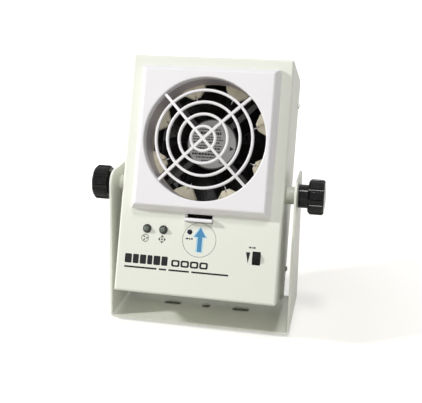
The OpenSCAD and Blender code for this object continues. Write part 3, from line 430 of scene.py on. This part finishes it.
def circle(centre, radius, steps):
    angles = [2 * math.pi * step / steps for step in range(steps)]
    x, z = centre
    return [(x + radius * math.cos(angle), z + radius * math.sin(angle)) for angle in angles]


def hoopMark(shape, centre, outer, inner, y=faceY, thickness=film, steps=64):
    band(shape, circle(centre, outer, steps), circle(centre, inner, steps), y, thickness)


def bar(centre, width, height):
    x, z = centre
    return [(x - width / 2, z - height / 2), (x + width / 2, z - height / 2),
            (x + width / 2, z + height / 2), (x - width / 2, z + height / 2)]


def softBar(centre, width, height, radius, steps=5):
    x, z = centre
    outline = []
    for quarter in range(4):
        cornerX = x + (width / 2 - radius) * (1 if quarter in (0, 3) else -1)
        cornerZ = z + (height / 2 - radius) * (1 if quarter < 2 else -1)
        for step in range(steps + 1):
            angle = math.radians(90 * quarter + 90 * step / steps)
            outline.append((cornerX + radius * math.cos(angle), cornerZ + radius * math.sin(angle)))
    return outline


label = {"tall": 1.3 * mm, "gap": 0.6 * mm}


# a word of plain bars, one for each width
def smallLabel(name, centre, widths):
    shape = bmesh.new()
    x = centre[0] - (sum(widths) + label["gap"] * (len(widths) - 1)) / 2
    for width in widths:
        stamp(shape, bar((x + width / 2, centre[1]), width, label["tall"]))
        x += width + label["gap"]
    addPiece(name, shape, ink, "head")


# under the lamps a three-bladed wheel, and four arrow heads round a dot, sized in shares of the radius
lampPrint = {
    "drop": 8.6 * mm, "radius": 3.4 * mm, "line": 0.45 * mm, "shifts": (-1.2 * mm, -0.6 * mm),
    "bladeCount": 3, "bladeSteps": 12, "bladeTurn": 35, "bladeRoot": 0.16, "bladeReach": 0.62,
    "bladeBulge": 0.34, "bladeHollow": 0.25,
    "headCount": 4, "headTip": 1.05, "headBase": 0.42, "headHalf": 0.52, "headNotch": 0.16,
    "dot": 0.26, "dotHole": 0.10,
}


def bladeWheel(shape, centre):
    radius = lampPrint["radius"]
    hoopMark(shape, centre, radius, radius - lampPrint["line"])
    steps = lampPrint["bladeSteps"]
    edge = [(step, 1) for step in range(steps + 1)]
    edge += [(step, -lampPrint["bladeHollow"]) for step in range(steps - 1, 0, -1)]
    for blade in range(lampPrint["bladeCount"]):
        first = 90 + 360 * blade / lampPrint["bladeCount"]
        outline = []
        for step, bow in edge:
            share = step / steps
            angle = math.radians(first + lampPrint["bladeTurn"] * share)
            out = Vector((math.cos(angle), math.sin(angle)))
            reach = (lampPrint["bladeRoot"] + lampPrint["bladeReach"] * share) * radius
            bulge = math.sin(math.pi * share) * lampPrint["bladeBulge"] * bow * radius
            outline.append(centre + out * reach + Vector((-out.y, out.x)) * bulge)
        stamp(shape, outline)


def arrowHeads(shape, centre):
    radius = lampPrint["radius"]
    for head in range(lampPrint["headCount"]):
        angle = 2 * math.pi * head / lampPrint["headCount"]
        out = Vector((math.cos(angle), math.sin(angle))) * radius
        side = Vector((-out.y, out.x)) * lampPrint["headHalf"]
        base = centre + out * lampPrint["headBase"]
        tip = centre + out * lampPrint["headTip"]
        notch = base + out * lampPrint["headNotch"]
        stamp(shape, [tip, base + side, notch, base - side])
    hoopMark(shape, centre, radius * lampPrint["dot"], radius * lampPrint["dotHole"], steps=24)


def lampMarks():
    low, high = headBox("status_lamps")
    half = (high.z - low.z) / 2
    z = low.z + half - lampPrint["drop"]
    first, second = lampPrint["shifts"]
    shape = bmesh.new()
    bladeWheel(shape, Vector((low.x + half + first, z)))
    arrowHeads(shape, Vector((high.x - half + second, z)))
    addPiece("lampMarks", shape, ink, "head")


# a ring beside the trimmer's screw, with a plain upright arrow in two blues
dial = {"shift": (9.0 * mm, -6.5 * mm), "radius": 15.2 * mm, "line": 0.35 * mm,
        "colour": (0.10, 0.11, 0.13), "arrowShift": (0.6 * mm, 0.2 * mm),
        "labelDrop": 6.0 * mm, "label": (2.2 * mm, 1.2 * mm, 1.6 * mm)}
arrows = {
    "arrowHalo": {"foot": -11.25 * mm, "neck": 1.88 * mm, "top": 12.1 * mm, "stem": 3.3 * mm,
                  "head": 7.02 * mm, "lift": 0.0, "colour": (0.55, 0.78, 0.90)},
    "arrowMark": {"foot": -10.6 * mm, "neck": 2.4 * mm, "top": 10.8 * mm, "stem": 2.0 * mm,
                  "head": 5.2 * mm, "lift": 0.04 * mm, "colour": (0.085, 0.29, 0.52)},
}


def calibrationRing():
    low, high = headBox("trim_screw")
    hole = ((low + high) / 2).xz
    centre = hole + Vector(dial["shift"])
    shape = bmesh.new()
    hoopMark(shape, centre, dial["radius"], dial["radius"] - dial["line"], steps=96)
    addPiece("dialRing", shape, printInk("ringInk", dial["colour"]), "head")
    middle = centre + Vector(dial["arrowShift"])
    for name, arrow in arrows.items():
        stem, head = arrow["stem"], arrow["head"]
        foot, neck, top = arrow["foot"], arrow["neck"], arrow["top"]
        outline = [(-stem, foot), (stem, foot), (stem, neck), (head, neck),
                   (0, top), (-head, neck), (-stem, neck)]
        shape = bmesh.new()
        stamp(shape, [middle + Vector(corner) for corner in outline], faceY - arrow["lift"])
        addPiece(name, shape, printInk(name + "Ink", arrow["colour"]), "head")
    smallLabel("trimmerLabel", (hole.x, hole.y - dial["labelDrop"]), dial["label"])


wedge = {"wide": 3.8 * mm, "tall": 9.8 * mm, "gap": 2.4 * mm, "tipShare": 0.42,
         "labelShift": (-1.0 * mm, 4.2 * mm), "label": (1.9 * mm, 0.7 * mm, 1.9 * mm)}


# a wedge beside the speed wheel and the wheel's label over it
def wheelMarks():
    low, high = headBox("speed_wheel")
    bottom = (low.z + high.z - wedge["tall"]) / 2
    top = bottom + wedge["tall"]
    right = low.x - wedge["gap"]
    left = right - wedge["wide"]
    shape = bmesh.new()
    stamp(shape, [(left, top), (right - wedge["wide"] * wedge["tipShare"], bottom), (right, top)])
    addPiece("speedWedge", shape, ink, "head")
    aside, above = wedge["labelShift"]
    smallLabel("wheelLabel", (low.x + aside, top + above), wedge["label"])


# the title's place holds plain blocks, frames and rules of about its size
title = {
    "left": 8 * mm, "drop": 63.6 * mm,
    "blocks": (6.4 * mm, 5.4 * mm, 5.8 * mm, 4.6 * mm, 6.2 * mm, 5.6 * mm),
    "blockTall": 8.2 * mm, "blockRound": 0.9 * mm, "blockGap": 1.1 * mm,
    "frameCount": 4, "frameSpace": 2.4 * mm, "frameGap": 0.9 * mm,
    "frameWide": 7.6 * mm, "frameTall": 6.0 * mm, "frameRound": 1.6 * mm,
    "holeWide": 4.2 * mm, "holeTall": 3.0 * mm, "holeRound": 0.7 * mm,
    "rules": (30.0 * mm, 6.6 * mm, 18.6 * mm, 33.0 * mm),
    "ruleTall": 1.5 * mm, "ruleDrop": 11.6 * mm, "ruleGap": 2.2 * mm,
}


def titleBlocks():
    shape = bmesh.new()
    left = caseLow.x + title["left"]
    top = -title["drop"]
    x = left
    for width in title["blocks"]:
        centre = (x + width / 2, top - title["blockTall"] / 2)
        stamp(shape, softBar(centre, width, title["blockTall"], title["blockRound"]))
        x += width + title["blockGap"]
    x += title["frameSpace"]
    for count in range(title["frameCount"]):
        centre = (x + title["frameWide"] / 2, top - title["blockTall"] + title["frameTall"] / 2)
        band(shape, softBar(centre, title["frameWide"], title["frameTall"], title["frameRound"]),
             softBar(centre, title["holeWide"], title["holeTall"], title["holeRound"]))
        x += title["frameWide"] + title["frameGap"]
    x = left
    for width in title["rules"]:
        stamp(shape, bar((x + width / 2, top - title["ruleDrop"]), width, title["ruleTall"]))
        x += width + title["ruleGap"]
    addPiece("titleBlocks", shape, ink, "head")


lampMarks()
calibrationRing()
wheelMarks()
titleBlocks()
print("front marks printed")

# print on the motor's label, in mm from its middle
hub = {
    "colour": (0.04, 0.04, 0.045), "layer": 0.03, "gap": 0.45, "dash": (0.8, 2.6),
    "ringCentre": (9.5, -15.6), "ringOuter": 1.7, "ringInner": 1.1,
    "arrow": ((17.0, -1.2), (17.0, -5.4), (20.8, -3.3)),
    # rows of dashes: height, start, stop and stroke
    "rows": ((16.0, -9, 5, 1.1), (13.6, -14, 8, 1.1), (10.2, -18, 9, 2.6), (6.6, -19, 8, 1.1),
             (4.2, -20, 10, 1.1), (1.5, -20, 7, 1.5), (-1.6, -20, 9, 1.1), (-4.0, -20, 8, 1.5),
             (-6.8, -19, 9, 1.1), (-9.4, -18, 7, 1.8), (-12.4, -14, 4, 1.5), (-15.4, -9, 1, 1.1)),
}


def hubPrint():
    low, high = headBox("motor_label")
    centre = ((low + high) / 2).xz
    layer = hub["layer"] * mm
    gap = hub["gap"] * mm
    shape = bmesh.new()
    draw = random.Random(7)
    for height, start, stop, tall in hub["rows"]:
        x = start * mm
        while x < stop * mm - gap:
            width = min(draw.uniform(*hub["dash"]) * mm, stop * mm - x)
            middle = centre + Vector((x + width / 2, height * mm))
            stamp(shape, bar(middle, width, tall * mm), low.y, layer)
            x += width + gap
    ringCentre = centre + Vector(hub["ringCentre"]) * mm
    hoopMark(shape, ringCentre, hub["ringOuter"] * mm, hub["ringInner"] * mm, low.y, layer, steps=24)
    stamp(shape, [centre + Vector(corner) * mm for corner in hub["arrow"]], low.y, layer)
    addPiece("hubPrint", shape, printInk("hubInk", hub["colour"]), "head")


hubPrint()


# moulded holders round the needles
holder = {"count": 8, "outer": 56.5 * mm, "mouth": 54.9 * mm, "shoulder": 51.0 * mm, "inner": 44.8 * mm,
          "wide": 12.4 * mm, "waist": 10.4 * mm, "nose": 3.4 * mm, "slot": 0.9 * mm, "bevel": 0.6 * mm,
          "bevelDepth": 1.2 * mm, "front": 0.2 * mm, "back": 0.4 * mm}


def needleHolders():
    low, high = headBox("emitter_ring")
    centre = Vector(((low.x + high.x) / 2, 0, (low.z + high.z) / 2))
    front = low.y - holder["front"]
    # half outline: distance from the middle line and from the duct's axis
    side = [(holder["slot"], holder["inner"]), (holder["nose"], holder["inner"]),
            (holder["waist"], holder["shoulder"]), (holder["wide"], holder["outer"]),
            (holder["slot"], holder["outer"])]
    # depth, bevel and widest radius of the three levels
    levels = ((front, holder["bevel"], holder["mouth"]),
              (front + holder["bevelDepth"], 0, holder["outer"]),
              (high.y - holder["back"], 0, holder["outer"]))
    shape = bmesh.new()
    for index in range(holder["count"]):
        turn = Matrix.Rotation(math.radians((index + 0.5) * 360 / holder["count"]), 3, "Y")
        for hand in (-1, 1):
            rings = []
            for depth, bevel, rim in levels:
                ring = []
                for across, reach in side:
                    inset = bevel if reach == holder["inner"] else 0
                    away = hand * max(across - bevel, holder["slot"])
                    spot = Vector((min(reach, rim) + inset, depth, away))
                    ring.append(shape.verts.new(turn @ spot + centre))
                rings.append(ring)
            joinRows(shape, rings)
    piece = addPiece("needleHolders", shape, slotFinish["cream_plastic"], "head")


needleHolders()
print("outlet pieces placed")


# ON and OFF signs on the two slopes of the mains rocker, each laid on the slope that is there
rockerSigns = {"reach": 4.0 * mm, "ring": 1.7 * mm, "line": 0.45 * mm, "tall": 3.4 * mm,
               "layer": 0.04 * mm, "colour": (0.80, 0.80, 0.78), "lookFrom": 10 * mm}


def rockerMarks():
    mesh = frame["nodes"]["power_rocker"].data
    corners = [vertex.co for vertex in mesh.vertices]
    skin = BVHTree.FromPolygons(corners, [face.vertices for face in mesh.polygons])
    low, high = headBox("power_rocker")
    signInk = printInk("rockerInk", rockerSigns["colour"])
    ring, line = rockerSigns["ring"], rockerSigns["line"]
    right = headAxes @ Vector((-1, 0, 0))
    inwards = headAxes @ Vector((0, -1, 0))
    for name, side in (("rockerOn", 1), ("rockerOff", -1)):
        start = (low + high) / 2 + Vector((0, 0, side * rockerSigns["reach"]))
        start.y = high.y + rockerSigns["lookFrom"]
        spot, normal = skin.ray_cast(headPlace @ start, inwards)[:2]
        up = right.cross(-normal)
        place = Matrix.Translation(spot) @ Matrix((right, -normal, up)).transposed().to_4x4()
        shape = bmesh.new()
        if side > 0:
            stamp(shape, bar((0, 0), line, rockerSigns["tall"]), 0, rockerSigns["layer"])
        else:
            hoopMark(shape, (0, 0), ring, ring - line, 0, rockerSigns["layer"], steps=32)
        addPiece(name, shape, signInk, "rocker", place)


rockerMarks()


# screw heads with a cross recess, in shares of the head's radius and height
cross = {"steps": 40, "profile": ((0.45, 0.99), (0.75, 0.90), (0.93, 0.66), (1.0, 0.32), (1.0, 0.0)),
         "armLong": 0.62, "armThin": 0.15, "above": 1.3, "floor": 0.25, "floorShare": 0.55}


def cornersAt(shape, outline, z):
    return [shape.verts.new((x, y, z)) for x, y in outline]


def screwHead(radius, height):
    head = bmesh.new()
    joinRows(head, [cornersAt(head, circle((0, 0), radius * share, cross["steps"]), height * level)
                    for share, level in cross["profile"]])
    body = meshObject("headBlank", head)
    cutter = bmesh.new()
    long, thin = 2 * radius * cross["armLong"], 2 * radius * cross["armThin"]
    levels = ((1.0, cross["above"]), (cross["floorShare"], cross["floor"]))
    for wide, deep in ((long, thin), (thin, long)):
        joinRows(cutter, [cornersAt(cutter, bar((0, 0), wide * share, deep * share), height * level)
                          for share, level in levels])
    tool = meshObject("crossCutter", cutter)
    cut = body.modifiers.new("cross", "BOOLEAN")
    cut.object = tool
    cut.solver = "EXACT"
    cut.use_self = True
    graph = bpy.context.evaluated_depsgraph_get()
    made = bpy.data.meshes.new_from_object(body.evaluated_get(graph))
    for piece in (body, tool):
        bpy.data.objects.remove(piece)
    return made


# the turn of each cross in degrees, the shanks' length in head radii, and their own radii
fixing = {"firstTurn": 23, "nextTurn": 47, "shankLong": 2.4, "shankLap": 0.01 * mm,
          "sideShank": 1.3 * mm, "inletShank": 1.5 * mm}


# spots are pairs: where the head sits and the way it faces
def screws(name, node, spots, radius, height, shank):
    screw = screwHead(radius, height)
    deep = radius * fixing["shankLong"]
    whole = bmesh.new()
    whole.from_mesh(screw)
    bmesh.ops.create_cone(whole, cap_ends=True, segments=24, radius1=shank, radius2=shank, depth=deep,
                          matrix=Matrix.Translation((0, 0, fixing["shankLap"] - deep / 2)))
    whole.to_mesh(screw)
    whole.free()
    shape = bmesh.new()
    for index, (spot, way) in enumerate(spots):
        facing = Vector((0, 0, 1)).rotation_difference(Vector(way)).to_matrix().to_4x4()
        turn = Matrix.Rotation(math.radians(fixing["firstTurn"] + fixing["nextTurn"] * index), 4, "Z")
        copy = screw.copy()
        copy.transform(Matrix.Translation(spot) @ facing @ turn)
        shape.from_mesh(copy)
        bpy.data.meshes.remove(copy)
    bpy.data.meshes.remove(screw)
    piece = addPiece(name, shape, slotFinish["bare_steel"], "head")
    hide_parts(node)


def sideScrews():
    low, high = headBox("case_screws")
    radius = (high.y - low.y) / 2
    y = (low.y + high.y) / 2
    spots = []
    for side in (-1, 1):
        for z in (low.z + radius, high.z - radius):
            spots.append(((side * caseHigh.x, y, z), (side, 0, 0)))
    screws("caseScrews", "case_screws", spots, radius, high.x - caseHigh.x, fixing["sideShank"])


def inletScrews():
    low, high = headBox("inlet_screws")
    flangeBack = headBox("power_inlet")[1].y
    radius = (high.z - low.z) / 2
    z = (low.z + high.z) / 2
    spots = [((x, flangeBack, z), (0, 1, 0)) for x in (low.x + radius, high.x - radius)]
    screws("inletScrews", "inlet_screws", spots, radius, high.y - flangeBack, fixing["inletShank"])


sideScrews()
inletScrews()
print("screws driven")


# surroundings, light and camera
ground = {"glow": 0.56, "near": 0.15, "far": 0.60, "fade": 12 * mm, "inset": 6 * mm, "half": 6.0,
          "fibreSize": 3 * mm, "fibreTones": ((0.62, 0.60, 0.54), (0.64, 0.62, 0.56))}


def surroundings():
    finish = Finish("floorPaper")
    dark, light = ground["fibreTones"]
    tone = finish.mix(shade(dark), shade(light), finish.noise(ground["fibreSize"], 4.0))
    # the paper glows to white for the camera, but not under the stand
    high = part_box("stand_bracket")[1]
    sides = []
    for axis, end in (("X", high[0] - ground["inset"]), ("Y", high[1] - ground["inset"])):
        spot = finish.add("ShaderNodeSeparateXYZ", None, {"Vector": finish.where()}, axis)
        aside = finish.add("ShaderNodeMath", {"operation": "ABSOLUTE"}, {0: spot})
        sides.append(finish.between(aside, end - ground["fade"], end))
    outside = finish.add("ShaderNodeMath", {"operation": "MAXIMUM"}, {0: sides[0], 1: sides[1]})
    reach = finish.add("ShaderNodeVectorMath", {"operation": "LENGTH"}, {0: finish.where()}, "Value")
    white = (1, 1, 1)
    away = finish.between(reach, ground["near"], ground["far"])
    glow = finish.mix(shade(white, ground["glow"]), shade(white), away)
    glow = finish.mix(shade(white, 0), glow, finish.seen() * outside)
    floor = bmesh.new()
    bmesh.ops.create_grid(floor, x_segments=1, y_segments=1, size=ground["half"])
    sheet = meshObject("floor", floor)
    sheet.data.materials.append(finish.set(
        Base_Color=tone, Roughness=0.9, Emission_Color=glow, Emission_Strength=1.0))


lights = {
    "fill": 0.26,
    "left": {"spot": (-1.54, -0.53, 0.92), "aim": (0, 0, 0.13), "size": 0.13, "power": 25.0},
    "top": {"spot": (0.10, -0.55, 1.70), "aim": (0, 0, 0.14), "size": 0.26, "power": 8.5},
    "front": {"spot": (0.60, -1.45, 0.80), "aim": (0, 0, 0.14), "size": 0.9, "power": 4.0},
}


def lamp(name, spot, aim, size, power):
    data = bpy.data.lights.new(name, "AREA")
    data.size = size
    data.energy = power
    made = inScene(name, data)
    made.location = spot
    made.rotation_euler = (Vector(aim) - Vector(spot)).to_track_quat("-Z", "Y").to_euler()


# white for the camera, a softer fill for everything it lights
def skyLight():
    finish = Finish("studio", "worlds", "Background")
    strength = lights["fill"] + (1 - lights["fill"]) * finish.seen()
    bpy.context.scene.world = finish.set(Color=(1, 1, 1, 1), Strength=strength)


view = {"spot": (0.1294, -0.6163, 0.3192), "turn": 11.55, "dip": 18.32, "roll": 0.64, "lens": 61.25,
        "near": 0.01}


def addCamera():
    data = bpy.data.cameras.new("camera")
    data.lens = view["lens"]
    data.clip_start = view["near"]
    camera = inScene("camera", data)
    turn = Matrix.Rotation(math.radians(view["turn"]), 4, "Z")
    dip = Matrix.Rotation(math.radians(90 - view["dip"]), 4, "X")
    roll = Matrix.Rotation(math.radians(view["roll"]), 4, "Z")
    camera.matrix_world = Matrix.Translation(view["spot"]) @ turn @ dip @ roll
    bpy.context.scene.camera = camera


surroundings()
skyLight()
for name in ("left", "top", "front"):
    lamp(name, **lights[name])
addCamera()
bpy.context.scene.view_settings.view_transform = "Standard"
print("stage set")
